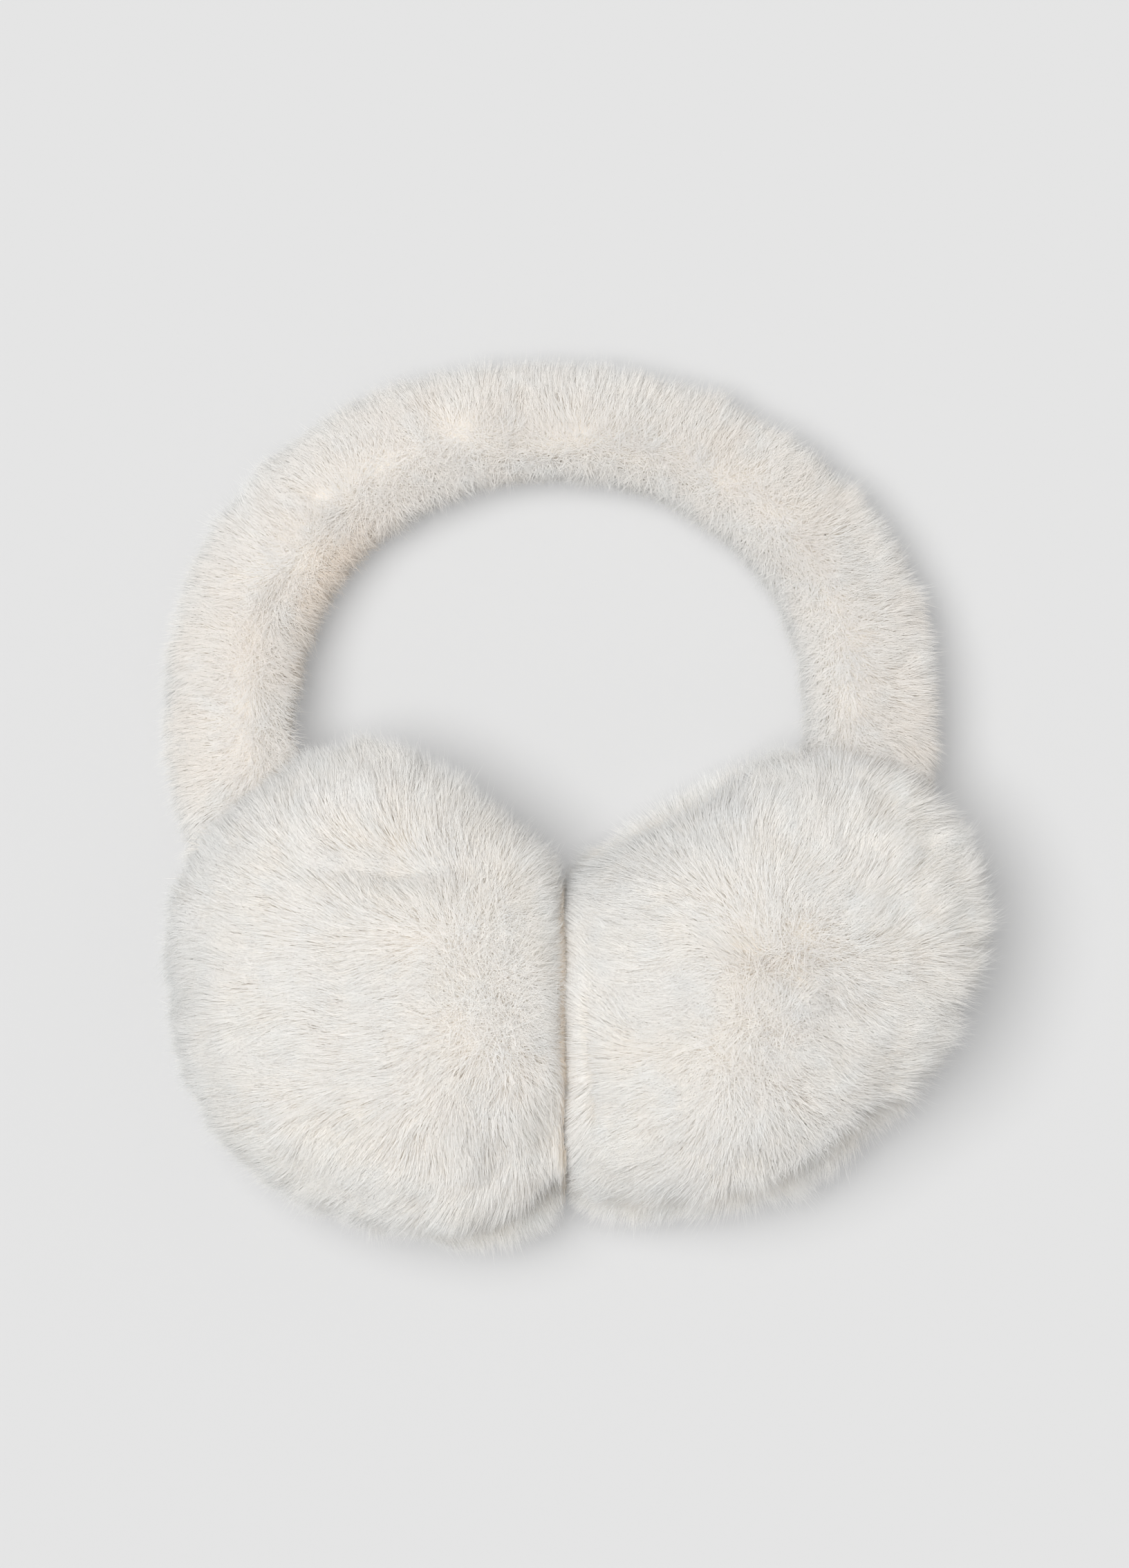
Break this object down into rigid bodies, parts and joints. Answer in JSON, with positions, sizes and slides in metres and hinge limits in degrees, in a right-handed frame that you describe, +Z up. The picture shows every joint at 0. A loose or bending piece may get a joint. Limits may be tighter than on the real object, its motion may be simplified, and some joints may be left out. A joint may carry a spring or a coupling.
{
  "type": "fur earmuffs",
  "caption": "Fluffy fur earmuffs lying flat: an arc-shaped fur headband with round two-layer fur pads pressed together at the open end.",
  "frame": {"origin": "on the surface that the earmuffs lie on, under the middle of their bounding box", "axes": "+X from the left pad towards the right pad, +Y from the pads towards the top of the headband, +Z up from the surface"},
  "size_m": [0.1908, 0.206, 0.0555],
  "materials": {
    "band_fur": "matte",
    "cover_fur": "matte",
    "pad_fur": "matte"
  },
  "bodies": {
    "root": {"headband": "band_fur", "left_outer_cover": "cover_fur", "left_inner_pad": "pad_fur", "right_outer_cover": "cover_fur", "right_inner_pad": "pad_fur"}
  },
  "joints": []
}
